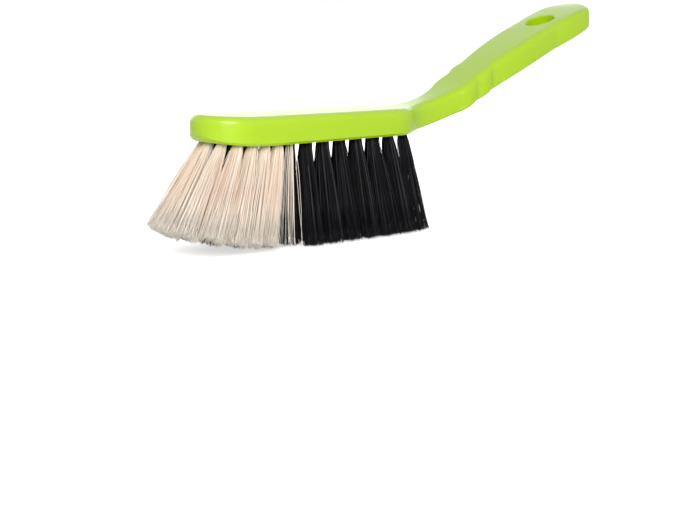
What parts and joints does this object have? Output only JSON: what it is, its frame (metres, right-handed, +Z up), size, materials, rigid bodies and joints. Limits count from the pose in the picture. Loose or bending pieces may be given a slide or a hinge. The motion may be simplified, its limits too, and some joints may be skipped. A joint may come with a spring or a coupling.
{
  "type": "hand broom",
  "caption": "Hand broom: a long block with a rounded nose, an arched, finger-lobed handle with a hanging hole, and fanned bristle tufts.",
  "frame": {"origin": "bottom centre of the bounding box, in the plane of the bristle tips that the broom stands on", "axes": "+X along the broom from the nose to the handle, +Y across it, +Z up"},
  "size_m": [0.3502, 0.0698, 0.1408],
  "materials": {
    "body_plastic": "smooth, glossy lime green moulding",
    "anchor_steel": "cut flat wire",
    "cream_bristle": "fine cream filaments with split tips",
    "black_bristle": "fine black filaments with split tips"
  },
  "bodies": {
    "root": {"broom_body": "body_plastic", "tuft_anchors": "anchor_steel", "cream_nose_tufts": "cream_bristle", "cream_tufts_left": "cream_bristle", "cream_tufts_right": "cream_bristle", "black_outer_tufts_left": "black_bristle", "black_inner_tufts_left": "black_bristle", "black_centre_tufts": "black_bristle", "black_inner_tufts_right": "black_bristle", "black_outer_tufts_right": "black_bristle"}
  },
  "joints": []
}
